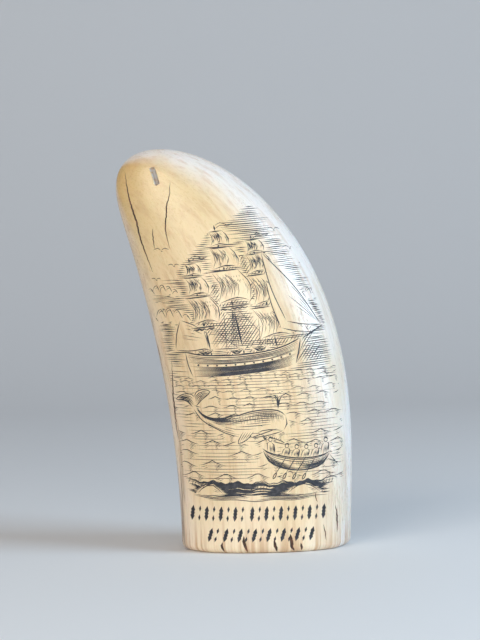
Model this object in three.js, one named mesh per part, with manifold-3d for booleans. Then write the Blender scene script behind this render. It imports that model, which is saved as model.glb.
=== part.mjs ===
// A sperm whale's tooth, sawn flat across the root so that it stands, polished, and engraved on its
// broad front face: one solid piece. It has the horn-like lean of a real tooth, a flattened oval
// section, faint flutes down its narrow sides and the natural pulp hollow that opens in the sawn
// root.
//
// Millimetres, +Z up. The engraved face looks along -Y and the tip leans towards -X. The tooth stands
// on z = 0, and the origin lies under the middle of its overall box.

import * as THREE from "three";
import { mergeVertices } from "three/addons/utils/BufferGeometryUtils.js";
import Module from "manifold-3d";

// The tooth's middle line from root to tip, and the half-width and half-depth along it, each as the
// control values of one smooth curve. The middle line's are [x, z].
const SPINE = [[0, 0], [0, 32], [1.5, 62], [-8, 91], [-21.5, 112.5], [-45, 123.5]];
const HALF_WIDTH = [27.5, 28, 32, 31.5, 29, 30.5];
const HALF_DEPTH = [19.5, 20, 21.5, 21, 19.5, 19];
const TIP_BLUNTNESS = 2.9; // the higher, the later and the blunter the tip closes
const SQUARENESS = 2.3; // of the oval section, where 2 is an ellipse

const AROUND = 44; // sides of the oval section
const ALONG = 28; // rings from the root to the tip
const TIP_CROWDING = 1.8; // how far the rings crowd towards the tip

const ROOT_EDGE = 2.4; // radius of the rounded edge of the sawn root
const ROOT_EDGE_RINGS = 3;
const ROOT_EDGE_SHARE = 0.03; // of the tooth's run, where the plain rings start above that edge
const FLUTES = 9; // faint lengthwise hollows, which show on the narrow sides alone
const FLUTE_DEPTH = 0.35;
const FLUTE_TWIST = 1.6; // radians from root to tip

// The pulp hollow: an oval funnel that follows the lean of the tooth.
const HOLLOW_HALF_WIDTH = 14;
const HOLLOW_HALF_DEPTH = 8.5;
const HOLLOW_HEIGHT = 46;
const HOLLOW_RINGS = 9;
const HOLLOW_FULLNESS = 0.8; // 1 is a straight-sided funnel, less is rounder

// The small gouge beside the tip.
const GOUGE = { x: -33.2, z: 121.4, length: 6.2, width: 1.7, depth: 0.7, lean: THREE.MathUtils.degToRad(18) };

// Cuts run this far above the surface, so that each leaves a clean edge.
const CUT_RISE = 0.7;

// Facets smaller than this are merged into their neighbours.
const SMALLEST = 0.04;

// Age cracks, each as points on the front, [x, z], with its width and depth.
const CRACKS = [
  {
    width: 0.55,
    depth: 0.5,
    points: [[-43, 124], [-42.6, 120], [-41.5, 114], [-39.4, 107], [-38.2, 101.5], [-36.2, 95.5], [-34.4, 90.5]],
  },
  {
    width: 0.45,
    depth: 0.4,
    points: [[-28.2, 119.6], [-28.6, 114.8], [-29.5, 112], [-29.6, 108.8], [-30, 105.6], [-29.5, 101.4], [-28.7, 98]],
  },
  { width: 0.4, depth: 0.4, points: [[16.4, 19.6], [16.2, 17.4], [16.8, 15.8]] },
  { width: 0.4, depth: 0.4, points: [[18.6, 8.8], [19, 5.8], [19.4, 3.2]] },
];

// The two rows of cut strokes below the picture. Each run is a group of strokes: where it starts, how
// many it has and how far apart they stand.
const STROKE_ROWS = [
  {
    foot: 10.4,
    height: 5,
    lean: 0.12,
    runs: [{ start: -23.8, count: 8, pitch: 2.3 }, { start: -4.6, count: 11, pitch: 2.3 }],
  },
  {
    foot: 3.7,
    height: 4.6,
    lean: 0.3,
    runs: [{ start: -18.5, count: 2, pitch: 2 }, { start: -13.6, count: 13, pitch: 2.3 }],
  },
];
const STROKE = { wide: 0.95, fine: 0.5, depth: 0.45, fullEvery: 2 };

// The picture's main lines. Each figure is drawn in axes of its own, then sized, turned by some
// degrees and moved to x, z. Bold lines are outlines, and fine ones lie within them.
const BOLD = { width: 0.7, depth: 0.4 };
const FINE = { width: 0.5, depth: 0.3 };
const CURVE_STEP = 3.2; // between the points of a curved line

// A full-rigged ship. Each mast has its foot, its height and its square sails, each as foot, head,
// and the half-widths there.
const SHIP = {
  x: -4.5, z: 60.6, size: 0.95, turn: 6, rake: 0.1, belly: 0.26,
  rail: [[-20.4, 6.6], [-14, 5], [-4, 3.9], [6, 3.9], [13, 4.9], [18.6, 6.8]],
  keel: [[-20.4, 6.6], [-20, 2.2], [-18.8, -1.9], [-8, -2.7], [4, -2.8], [12, -2.4], [16, -1.5], [18.6, 6.8]],
  wales: [0.42, 0.68], // the lines along the hull, as shares of the way from rail to keel
  bowsprit: [[17.2, 5.6], [20.6, 7.2], [24, 8.8]],
  jib: [[24, 13.2], [16.4, 25.4], [9, 37], [14.6, 13], [20, 11.6]],
  spanker: [[-13.4, 13.2], [-20.8, 17.6], [-23.6, 7.6], [-12.6, 7.4]],
  masts: [
    {
      foot: 10.5,
      height: 43,
      sails: [[8.2, 18.6, 5.5, 5], [19.6, 29.6, 4.9, 4], [30.4, 36.6, 3.9, 3], [37.3, 41.4, 2.8, 2.1]],
    },
    { foot: -0.8, height: 48, sails: [[21.6, 32.4, 5.3, 4.4], [33.2, 40.2, 4.2, 3.2], [41, 45.8, 3, 2.2]] },
    { foot: -11.6, height: 38, sails: [[15.6, 24.6, 4.3, 3.6], [25.4, 31.4, 3.4, 2.6], [32.2, 36, 2.4, 1.8]] },
  ],
};

const WHALE = {
  x: -6.2, z: 40.6, size: 0.84, turn: -3,
  back: [
    [-18.6, 7.2], [-15.8, 4.2], [-11, 3], [-6, 3.9], [2, 6.2],
    [8, 7.2], [13, 6.9], [15.6, 5], [16.2, 2.4], [15, -0.6],
  ],
  belly: [[-19.6, 6.4], [-16.2, 2.2], [-11, -0.6], [-5, -2.9], [2, -3.6], [8, -2.8], [15, -0.6]],
  flukes: [
    [-19.4, 6.4], [-22.4, 9], [-26.4, 9.2], [-24, 11.4],
    [-19.2, 10.6], [-16.6, 13.8], [-13.4, 13.2], [-18.6, 7.2],
  ],
  jaw: [[4.8, -2.6], [9, -4.2], [14.8, -5.6], [14.6, -4.7], [6.4, -1.9]],
  fin: [[3.6, -1.2], [-2.2, -6], [-0.2, -1.4]],
};

const WHALEBOAT = {
  x: 10.6, z: 29.4, size: 0.92, turn: -3,
  rail: [[-12.6, 4.4], [-9, 2.5], [0, 1.2], [8, 2], [11.6, 3.8]],
  keel: [[-12.2, 3.8], [-9.6, -0.4], [-4, -2.6], [3, -2.8], [8.6, -0.9], [11.2, 3.3]],
  crew: { first: -9.2, pitch: 3.7, count: 6, foot: 2, height: 3.6 },
};

const HORIZON = { z: 58.6, runs: [[-30, -26], [16, 20]] };

// Rows of waves, each as its height, the first crest's x, the crests' spacing and how tall they are.
const WAVES = [
  { z: 52.5, first: -18, pitch: 11, tall: 0.9, count: 4 },
  { z: 46.5, first: 12, pitch: 8, tall: 1.1, count: 2 },
  { z: 31, first: -24, pitch: 9, tall: 1.6, count: 3 },
];

// The dark trough along the picture's foot: level lines, each as its height, and how far they run.
const TROUGH = { lines: [18.6, 20.2, 21.8], left: -22, right: 20.5, points: 8, rise: 0.0016 };

// The Bezier curve of some control values, at share t of its run.
function curve(values, t) {
  if (values.length === 1) return values[0];
  return curve(values.slice(1).map((value, i) => values[i] + (value - values[i]) * t), t);
}

const spineX = (t) => curve(SPINE.map(([x]) => x), t);
const spineZ = (t) => curve(SPINE.map(([, z]) => z), t);

// The section at share t of the spine: its centre, the direction across its width, and its half sizes.
function sectionAt(t) {
  const step = 1e-4;
  const low = Math.max(t - step, 0);
  const high = Math.min(t + step, 1);
  const heading = new THREE.Vector2(spineX(high) - spineX(low), spineZ(high) - spineZ(low)).normalize();
  const closing = Math.sqrt(1 - t ** TIP_BLUNTNESS);
  return {
    x: spineX(t),
    z: spineZ(t),
    acrossX: heading.y,
    acrossZ: -heading.x,
    halfWidth: curve(HALF_WIDTH, t) * closing,
    halfDepth: curve(HALF_DEPTH, t) * closing,
  };
}

// One ring of points round a section. Inset draws it in evenly, as on the rounded edge of the root.
function ring(t, inset = 0, height = null) {
  const s = sectionAt(t);
  const points = [];
  for (let k = 0; k < AROUND; k += 1) {
    const angle = (2 * Math.PI * k) / AROUND;
    const c = Math.cos(angle);
    const d = Math.sin(angle);
    const wave = Math.cos(FLUTES * angle + FLUTE_TWIST * t);
    const flute = FLUTE_DEPTH * wave * c ** 4 * (s.halfWidth / HALF_WIDTH[0]);
    const across = (s.halfWidth + flute - inset) * Math.sign(c) * Math.abs(c) ** (2 / SQUARENESS);
    const deep = (s.halfDepth - inset) * Math.sign(d) * Math.abs(d) ** (2 / SQUARENESS);
    points.push(new THREE.Vector3(s.x + across * s.acrossX, deep, height ?? s.z + across * s.acrossZ));
  }
  return points;
}

// One ring of the pulp hollow, at share h of its height.
function hollowRing(h) {
  const size = (1 - h) ** HOLLOW_FULLNESS;
  const z = h * HOLLOW_HEIGHT;
  const points = [];
  for (let k = 0; k < AROUND; k += 1) {
    const angle = (2 * Math.PI * k) / AROUND;
    const x = leanAt(z) + HOLLOW_HALF_WIDTH * size * Math.cos(angle);
    points.push(new THREE.Vector3(x, HOLLOW_HALF_DEPTH * size * Math.sin(angle), z));
  }
  return points;
}

// The spine's x at a height, found by halving.
function leanAt(z) {
  let low = 0;
  let high = 1;
  for (let i = 0; i < 30; i += 1) {
    const middle = (low + high) / 2;
    if (spineZ(middle) < z) low = middle;
    else high = middle;
  }
  return spineX(low);
}

// A closed skin over rings of equal count, from a first pole to a last one.
function skin(firstPole, rings, lastPole) {
  const points = [firstPole, ...rings.flat(), lastPole];
  const at = (r, k) => 1 + r * AROUND + (k % AROUND);
  const faces = [];
  for (let k = 0; k < AROUND; k += 1) {
    faces.push(0, at(0, k + 1), at(0, k));
    faces.push(points.length - 1, at(rings.length - 1, k), at(rings.length - 1, k + 1));
    for (let r = 0; r + 1 < rings.length; r += 1) {
      faces.push(at(r, k), at(r, k + 1), at(r + 1, k));
      faces.push(at(r, k + 1), at(r + 1, k + 1), at(r + 1, k));
    }
  }
  return solidOf(points, faces);
}

const wasm = await Module();
wasm.setup();

// A closed set of faces over points, as a solid that can be cut.
function solidOf(points, faces) {
  const geometry = new THREE.BufferGeometry().setFromPoints(points).setIndex(faces);
  const merged = mergeVertices(geometry, 1e-4);
  const vertProperties = new Float32Array(merged.attributes.position.array);
  const triVerts = new Uint32Array(merged.index.array);
  return new wasm.Manifold(new wasm.Mesh({ numProp: 3, vertProperties, triVerts }));
}

// The uncut tooth: up through the hollow, across the sawn root, round its edge and up to the tip.
function body() {
  const rings = [];
  for (let i = HOLLOW_RINGS; i >= 0; i -= 1) rings.push(hollowRing(i / (HOLLOW_RINGS + 1)));
  for (let i = 0; i < ROOT_EDGE_RINGS; i += 1) {
    const turn = (Math.PI / 2) * (i / ROOT_EDGE_RINGS);
    rings.push(ring(0, ROOT_EDGE * (1 - Math.sin(turn)), ROOT_EDGE * (1 - Math.cos(turn))));
  }
  for (let i = 0; i < ALONG; i += 1) {
    rings.push(ring(1 - (1 - ROOT_EDGE_SHARE) * (1 - i / ALONG) ** TIP_CROWDING));
  }
  const hollowTop = new THREE.Vector3(leanAt(HOLLOW_HEIGHT), 0, HOLLOW_HEIGHT);
  const tip = new THREE.Vector3(spineX(1), 0, spineZ(1));
  return skin(hollowTop, rings, tip);
}

// How far forward the front face lies at x, z, as its y.
function frontAt(x, z) {
  let low = 0;
  let high = 1;
  for (let i = 0; i < 30; i += 1) {
    const middle = (low + high) / 2;
    const s = sectionAt(middle);
    const past = (x - s.x) * -s.acrossZ + (z - s.z) * s.acrossX;
    if (past > 0) low = middle;
    else high = middle;
  }
  const s = sectionAt(low);
  const across = (x - s.x) * s.acrossX + (z - s.z) * s.acrossZ;
  const share = Math.min(Math.abs(across / s.halfWidth), 0.995);
  return -s.halfDepth * (1 - share ** SQUARENESS) ** (1 / SQUARENESS);
}

// The point of the front face at x, z, with its outward direction.
function pointOnFront(x, z) {
  const step = 0.2;
  const slopeX = (frontAt(x + step, z) - frontAt(x - step, z)) / (2 * step);
  const slopeZ = (frontAt(x, z + step) - frontAt(x, z - step)) / (2 * step);
  const out = new THREE.Vector3(slopeX, -1, slopeZ).normalize();
  return { point: new THREE.Vector3(x, frontAt(x, z), z), out };
}

// A V-shaped cutter along points of the front. Its ends close to a narrow edge, as a graver leaves
// them.
function graverCut(points, width, depth, endShare = 0.3) {
  const places = points.map(([x, z]) => pointOnFront(x, z));
  const corners = [];
  places.forEach(({ point, out }, i) => {
    const next = places[Math.min(i + 1, places.length - 1)].point;
    const before = places[Math.max(i - 1, 0)].point;
    const heading = next.clone().sub(before).normalize();
    const side = new THREE.Vector3().crossVectors(heading, out).normalize();
    const ending = i === 0 || i === places.length - 1 ? endShare : 1;
    const flare = (0.5 * width * ending * (depth * ending + CUT_RISE)) / (depth * ending);
    corners.push(point.clone().addScaledVector(out, -depth * ending));
    corners.push(point.clone().addScaledVector(out, CUT_RISE).addScaledVector(side, flare));
    corners.push(point.clone().addScaledVector(out, CUT_RISE).addScaledVector(side, -flare));
  });
  const faces = [0, 1, 2];
  for (let i = 0; i + 1 < places.length; i += 1) {
    for (let j = 0; j < 3; j += 1) {
      const a = 3 * i + j;
      const b = 3 * i + ((j + 1) % 3);
      faces.push(a, a + 3, b, b, a + 3, b + 3);
    }
  }
  const end = 3 * (places.length - 1);
  faces.push(end, end + 2, end + 1);
  const cutter = solidOf(corners, faces);
  return cutter.volume() < 0 ? solidOf(corners, faces.toReversed()) : cutter;
}

// The rows of strokes: wide ones at full height between fine ones, some of them broken in two.
function strokeCuts() {
  const cuts = [];
  for (const { foot, height, lean, runs } of STROKE_ROWS) {
    for (const { start, count, pitch } of runs) {
      for (let i = 0; i < count; i += 1) {
        const x = start + i * pitch;
        const full = i % STROKE.fullEvery === 0;
        const width = full ? STROKE.wide : STROKE.fine;
        const parts = full ? [[0, 1]] : [[0, 0.42], [0.58, 1]];
        for (const [from, to] of parts) {
          const [low, high] = [from * height, to * height];
          const line = [low, (low + high) / 2, high].map((z) => [x + lean * z, foot + z]);
          cuts.push(graverCut(line, width, STROKE.depth));
        }
      }
    }
  }
  return cuts;
}

// Points of a figure, set in its place on the face.
function placed(figure, points) {
  const turn = THREE.MathUtils.degToRad(figure.turn);
  const centre = new THREE.Vector2(0, 0);
  return points.map(([x, z]) => {
    const at = new THREE.Vector2(x, z).multiplyScalar(figure.size).rotateAround(centre, turn);
    return [at.x + figure.x, at.y + figure.z];
  });
}

// A smooth line through some points, with its own points evenly spaced.
function smooth(points) {
  const line = new THREE.SplineCurve(points.map(([x, z]) => new THREE.Vector2(x, z)));
  const count = Math.max(Math.round(line.getLength() / CURVE_STEP), 2);
  return line.getSpacedPoints(count).map(({ x, y }) => [x, y]);
}

const cutAlong = (points, { width, depth }) => graverCut(points, width, depth, 0.5);

// The ship's square sails, each with its yard, its leeward edge and its bowed foot.
function sailCuts() {
  const cuts = [];
  for (const { foot: mastFoot, sails } of SHIP.masts) {
    for (const [foot, head, wideFoot, wideHead] of sails) {
      const low = mastFoot - SHIP.rake * foot;
      const high = mastFoot - SHIP.rake * head;
      const belly = SHIP.belly * (head - foot);
      const edge = (side) => [
        [high + side * wideHead, head],
        [(low + high) / 2 + (side * (wideFoot + wideHead)) / 2 + belly, (foot + head) / 2],
        [low + side * wideFoot + 0.4 * belly, foot],
      ];
      const bow = [low + 0.7 * belly, foot + 0.13 * (head - foot)];
      const yard = [[high - 1.2 * wideHead, head], [high + 1.2 * wideHead, head]];
      cuts.push(cutAlong(placed(SHIP, yard), BOLD));
      cuts.push(cutAlong(placed(SHIP, edge(1)), FINE));
      cuts.push(cutAlong(placed(SHIP, [edge(-1)[2], bow, edge(1)[2]]), FINE));
    }
  }
  return cuts;
}

// The rest of the ship: her hull and its wales, the bowsprit, jib and spanker, and the lower masts.
function shipCuts() {
  const cuts = sailCuts();
  const rail = new THREE.SplineCurve(SHIP.rail.map(([x, z]) => new THREE.Vector2(x, z)));
  const keel = new THREE.SplineCurve(SHIP.keel.slice(2, -1).map(([x, z]) => new THREE.Vector2(x, z)));
  for (const share of SHIP.wales) {
    const line = rail.getSpacedPoints(9).map((point, i) => point.lerp(keel.getSpacedPoints(9)[i], share));
    cuts.push(cutAlong(placed(SHIP, line.map(({ x, y }) => [x, y])), FINE));
  }
  cuts.push(cutAlong(placed(SHIP, smooth(SHIP.rail)), BOLD));
  cuts.push(cutAlong(placed(SHIP, smooth(SHIP.keel)), BOLD));
  cuts.push(cutAlong(placed(SHIP, SHIP.bowsprit), BOLD));
  cuts.push(cutAlong(placed(SHIP, SHIP.jib), FINE));
  cuts.push(cutAlong(placed(SHIP, SHIP.spanker), FINE));
  for (const { foot, sails } of SHIP.masts) {
    const top = sails[0][0];
    cuts.push(cutAlong(placed(SHIP, [[foot - 0.4, 4.4], [foot - SHIP.rake * top, top]]), BOLD));
  }
  return cuts;
}

// The whale, the whaleboat with her crew, the horizon, the waves and the trough.
function seaCuts() {
  const cuts = [];
  for (const part of [WHALE.back, WHALE.belly, WHALE.flukes]) {
    cuts.push(cutAlong(placed(WHALE, smooth(part)), BOLD));
  }
  for (const part of [WHALE.jaw, WHALE.fin]) cuts.push(cutAlong(placed(WHALE, part), FINE));
  for (const part of [WHALEBOAT.rail, WHALEBOAT.keel]) {
    cuts.push(cutAlong(placed(WHALEBOAT, smooth(part)), BOLD));
  }
  const { first, pitch, count, foot, height } = WHALEBOAT.crew;
  for (let i = 0; i < count; i += 1) {
    const at = first + pitch * i;
    cuts.push(cutAlong(placed(WHALEBOAT, [[at, foot], [at + 0.4, foot + height]]), BOLD));
  }
  for (const [from, to] of HORIZON.runs) cuts.push(cutAlong([[from, HORIZON.z], [to, HORIZON.z]], FINE));
  for (const row of WAVES) {
    for (let i = 0; i < row.count; i += 1) {
      const x = row.first + i * row.pitch;
      const reach = 0.42 * row.pitch;
      cuts.push(cutAlong([[x - reach, row.z], [x, row.z + row.tall], [x + reach, row.z]], FINE));
    }
  }
  const { left, right, points, rise } = TROUGH;
  for (const z of TROUGH.lines) {
    const xs = Array.from({ length: points + 1 }, (_, i) => left + ((right - left) * i) / points);
    cuts.push(cutAlong(xs.map((x) => [x, z + rise * x * x]), BOLD));
  }
  return cuts;
}

// The gouge: a small flat-bottomed slot that leans with the grain.
function gougeCut() {
  const { point, out } = pointOnFront(GOUGE.x, GOUGE.z);
  const box = new THREE.BoxGeometry(GOUGE.width, GOUGE.depth + CUT_RISE, GOUGE.length);
  const upright = new THREE.Matrix4().makeRotationY(-GOUGE.lean);
  const turn = new THREE.Quaternion().setFromUnitVectors(new THREE.Vector3(0, -1, 0), out);
  const middle = point.clone().addScaledVector(out, (CUT_RISE - GOUGE.depth) / 2);
  box.applyMatrix4(upright).applyQuaternion(turn).translate(middle.x, middle.y, middle.z);
  box.deleteAttribute("normal");
  box.deleteAttribute("uv");
  const merged = mergeVertices(box, 1e-4);
  const places = merged.attributes.position;
  const pointAt = (_, i) => new THREE.Vector3().fromBufferAttribute(places, i);
  const points = Array.from({ length: places.count }, pointAt);
  return solidOf(points, Array.from(merged.index.array));
}

// A solid's faces as geometry, moved so that the middle of its box stands over the origin.
function centredGeometry(solid) {
  const { numProp, numVert, vertProperties, triVerts } = solid.getMesh();
  const positions = new Float32Array(numVert * 3);
  for (let i = 0; i < numVert; i += 1) {
    positions.set(vertProperties.subarray(i * numProp, i * numProp + 3), i * 3);
  }
  const geometry = new THREE.BufferGeometry();
  geometry.setAttribute("position", new THREE.BufferAttribute(positions, 3));
  geometry.setIndex(new THREE.BufferAttribute(triVerts, 1));
  geometry.computeBoundingBox();
  const middle = geometry.boundingBox.getCenter(new THREE.Vector3());
  return geometry.translate(-middle.x, -middle.y, 0);
}

const cracks = CRACKS.map(({ points, width, depth }) => graverCut(points, width, depth, 0.5));
const cutters = wasm.Manifold.union([...cracks, ...strokeCuts(), ...shipCuts(), ...seaCuts(), gougeCut()]);

const ivory = new THREE.MeshStandardMaterial({ color: 0xe9d3a8, roughness: 0.32, metalness: 0 });
const tooth = new THREE.Mesh(centredGeometry(body().subtract(cutters).simplify(SMALLEST)), ivory);
tooth.name = "tooth";

const object = new THREE.Group();
object.name = "scrimshaw_tooth";
object.add(tooth);

export default object;
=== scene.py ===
"""A scrimshaw whale tooth: polished ivory, inked with a whaling scene and two rows of plain strokes."""

import logging
import math
import random
from collections.abc import Sequence
from dataclasses import dataclass, field
from enum import Enum

import bmesh
import bpy
import numpy as np
from mathutils import Matrix, Vector
from mathutils.geometry import delaunay_2d_cdt
from mathutils.kdtree import KDTree


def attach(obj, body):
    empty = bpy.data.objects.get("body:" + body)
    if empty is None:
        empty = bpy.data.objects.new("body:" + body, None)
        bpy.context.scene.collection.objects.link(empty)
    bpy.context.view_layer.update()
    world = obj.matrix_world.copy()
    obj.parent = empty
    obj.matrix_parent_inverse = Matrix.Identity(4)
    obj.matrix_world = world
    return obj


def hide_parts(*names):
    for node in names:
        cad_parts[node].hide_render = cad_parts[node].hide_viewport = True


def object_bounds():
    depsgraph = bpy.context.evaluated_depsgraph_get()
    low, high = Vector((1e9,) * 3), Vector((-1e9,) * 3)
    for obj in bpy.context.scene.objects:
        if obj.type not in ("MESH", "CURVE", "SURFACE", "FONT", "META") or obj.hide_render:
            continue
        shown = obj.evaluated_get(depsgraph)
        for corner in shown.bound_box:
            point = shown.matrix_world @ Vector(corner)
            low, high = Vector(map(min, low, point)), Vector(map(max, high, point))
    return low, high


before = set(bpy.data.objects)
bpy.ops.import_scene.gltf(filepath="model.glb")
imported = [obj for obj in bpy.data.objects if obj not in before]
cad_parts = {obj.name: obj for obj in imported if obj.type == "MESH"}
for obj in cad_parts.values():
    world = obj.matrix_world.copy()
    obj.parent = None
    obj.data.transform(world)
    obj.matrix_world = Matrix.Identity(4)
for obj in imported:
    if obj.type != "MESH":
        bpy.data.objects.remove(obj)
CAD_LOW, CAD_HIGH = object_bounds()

log = logging.getLogger("scrimshaw")
Path = np.ndarray  # points as rows of x, z in millimetres, seen from the front
Colour = tuple[float, float, float]  # linear red, green and blue


class Tool(Enum):
    """What made a part of the surface. The value is its place in the tooth's list of finishes."""

    POLISH = 0
    SAW = 1
    GRAVER = 2
    AGE = 3
    GOUGE = 4


# ---------------------------------------------------------------- the tooth's form


@dataclass(frozen=True)
class ToothForm:
    """The tooth's smooth surface in millimetres, with the sawn root at z = 0 and the face towards -Y.

    A place on the skin is a turn, 0 to 1 from the back's middle round by +X, and a rise in
    millimetres from the top of the root's rounded edge to the tip. Below 0 it runs down that edge.
    """

    spine_x: tuple[float, ...] = (0, 0, 1.5, -8, -21.5, -45)
    spine_z: tuple[float, ...] = (0, 32, 62, 91, 112.5, 123.5)
    half_width: tuple[float, ...] = (27.5, 28, 32, 31.5, 29, 30.5)
    half_depth: tuple[float, ...] = (19.5, 20, 21.5, 21, 19.5, 19)
    bluntness: float = 2.9
    squareness: float = 2.3
    root_edge: float = 2.4
    flutes: int = 9
    flute_depth: float = 0.35
    flute_twist: float = 1.6
    length: float = 150.0
    girth: float = 150.0
    edge_length: float = 3.8
    edge_share: float = 0.015  # of the run, where the rounded edge ends

    @staticmethod
    def curve(values: tuple[float, ...], t: np.ndarray) -> np.ndarray:
        """Gives the Bezier curve of some control values at shares t."""
        n = len(values) - 1
        return sum(math.comb(n, i) * v * t**i * (1 - t) ** (n - i) for i, v in enumerate(values))

    def section(self, t: np.ndarray) -> tuple[np.ndarray, ...]:
        """Gives the centre x and z, the direction across in x and z, and the half sizes at shares t."""
        low, high = np.clip(t - 1e-4, 0, 1), np.clip(t + 1e-4, 0, 1)
        run_x = self.curve(self.spine_x, high) - self.curve(self.spine_x, low)
        run_z = self.curve(self.spine_z, high) - self.curve(self.spine_z, low)
        size = np.hypot(run_x, run_z)
        closing = np.sqrt(np.clip(1 - t**self.bluntness, 0, 1))
        return (
            self.curve(self.spine_x, t),
            self.curve(self.spine_z, t),
            run_z / size,
            -run_x / size,
            self.curve(self.half_width, t) * closing,
            self.curve(self.half_depth, t) * closing,
        )

    def share(self, rise: np.ndarray) -> np.ndarray:
        """Gives the share of the spine at each rise."""
        return self.edge_share + (1 - self.edge_share) * np.clip(rise / self.length, 0, 1)

    def points(self, turn: np.ndarray, rise: np.ndarray) -> np.ndarray:
        """Gives the points in space of places on the skin."""
        t = self.share(rise)
        x, z, across_x, across_z, half_width, half_depth = self.section(t)
        bend = np.clip(1 + rise / self.edge_length, 0, 1) * np.pi / 2
        inset = self.root_edge * (1 - np.sin(bend))
        angle = np.pi / 2 - 2 * np.pi * turn
        c, d = np.cos(angle), np.sin(angle)
        flute = self.flute_depth * np.cos(self.flutes * angle + self.flute_twist * t) * c**4
        flute = flute * half_width / self.half_width[0]
        power = 2 / self.squareness
        across = (half_width + flute - inset) * np.sign(c) * np.abs(c) ** power
        deep = (half_depth - inset) * np.sign(d) * np.abs(d) ** power
        height = np.where(rise < 0, self.root_edge * (1 - np.cos(bend)), z + across * across_z)
        return np.stack([x + across * across_x, deep, height], axis=-1)

    def outward(self, turn: np.ndarray, rise: np.ndarray) -> np.ndarray:
        """Gives the unit direction out of the skin."""
        up = self.points(turn, np.minimum(rise + 0.05, self.length)) - self.points(turn, rise - 0.05)
        round_ = self.points(turn + 1e-4, rise) - self.points(turn - 1e-4, rise)
        normal = np.cross(up, round_)
        return normal / np.maximum(np.linalg.norm(normal, axis=-1, keepdims=True), 1e-12)

    def locate(self, path: Path) -> tuple[np.ndarray, np.ndarray, np.ndarray]:
        """Finds the turn and rise of front-face points, and how far across the face each is, -1 to 1."""
        x, z = path[:, 0], path[:, 1]
        low, high = np.zeros(len(path)), np.ones(len(path))
        for _ in range(26):
            t = (low + high) / 2
            sx, sz, ax, az, _, _ = self.section(t)
            past = (z - sz) * ax - (x - sx) * az > 0
            low, high = np.where(past, t, low), np.where(past, high, t)
        sx, sz, ax, az, half_width, _ = self.section(low)
        side = ((x - sx) * ax + (z - sz) * az) / np.maximum(half_width, 1e-6)
        held = np.clip(side, -0.999, 0.999)
        c = np.sign(held) * np.abs(held) ** (self.squareness / 2)
        turn = (np.pi / 2 + np.arccos(c)) / (2 * np.pi)
        rise = (low - self.edge_share) / (1 - self.edge_share) * self.length
        bend = np.arccos(np.clip(1 - z / self.root_edge, 0, 1))
        rise = np.where(z < self.root_edge, (bend / (np.pi / 2) - 1) * self.edge_length, np.maximum(rise, 0))
        return turn, rise, side


# ---------------------------------------------------------------- the engraver's hand


def smooth(points: Sequence, step: float = 0.45) -> Path:
    """Runs a smooth curve through some points.

    Args:
        points: The points, in order.
        step: The spacing of the points on the curve.

    Returns:
        The curve's points.
    """
    p = np.asarray(points, float)
    q = np.vstack([2 * p[0] - p[1], p, 2 * p[-1] - p[-2]])
    parts = []
    for a, b, c, d in zip(q[:-3], q[1:-2], q[2:-1], q[3:]):
        count = max(int(np.linalg.norm(c - b) / step), 1)
        f = np.arange(count)[:, None] / count
        parts.append(b + 0.5 * f * (c - a + f * (2 * a - 5 * b + 4 * c - d + f * (3 * (b - c) + d - a))))
    return np.vstack([*parts, p[-1:]])


def spaced(path: Path, count: int) -> Path:
    """Gives count + 1 evenly spaced points along a path."""
    run = np.concatenate([[0], np.cumsum(np.linalg.norm(np.diff(path, axis=0), axis=1))])
    at = np.linspace(0, run[-1], count + 1)
    return np.stack([np.interp(at, run, path[:, 0]), np.interp(at, run, path[:, 1])], axis=1)


def within(outline: Path, points: Path) -> np.ndarray:
    """Tells which points lie inside a closed outline."""
    low, high = outline.min(axis=0), outline.max(axis=0)
    hit = np.all((points >= low) & (points <= high), axis=1)
    if hit.any():
        x, z = points[hit, 0:1], points[hit, 1:2]
        a, b = outline, np.roll(outline, -1, axis=0)
        rise = np.where(b[:, 1] == a[:, 1], 1e-12, b[:, 1] - a[:, 1])
        spans = (a[:, 1] > z) != (b[:, 1] > z)
        crossed = spans & (x < a[:, 0] + (z - a[:, 1]) * (b[:, 0] - a[:, 0]) / rise)
        hit[hit] = crossed.sum(axis=1) % 2 == 1
    return hit


@dataclass(frozen=True)
class Stroke:
    """One cut of the graver: its middle line, its full width and how much of each end tapers."""

    path: Path
    width: float
    taper: float = 0.3
    tool: Tool = Tool.GRAVER

    def half_widths(self) -> np.ndarray:
        """Gives the half-width at each point of the path."""
        f = np.linspace(0, 1, len(self.path))
        ends = np.minimum(np.minimum(f, 1 - f) / max(self.taper, 1e-3), 1)
        return 0.5 * self.width * ends**0.6


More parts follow.
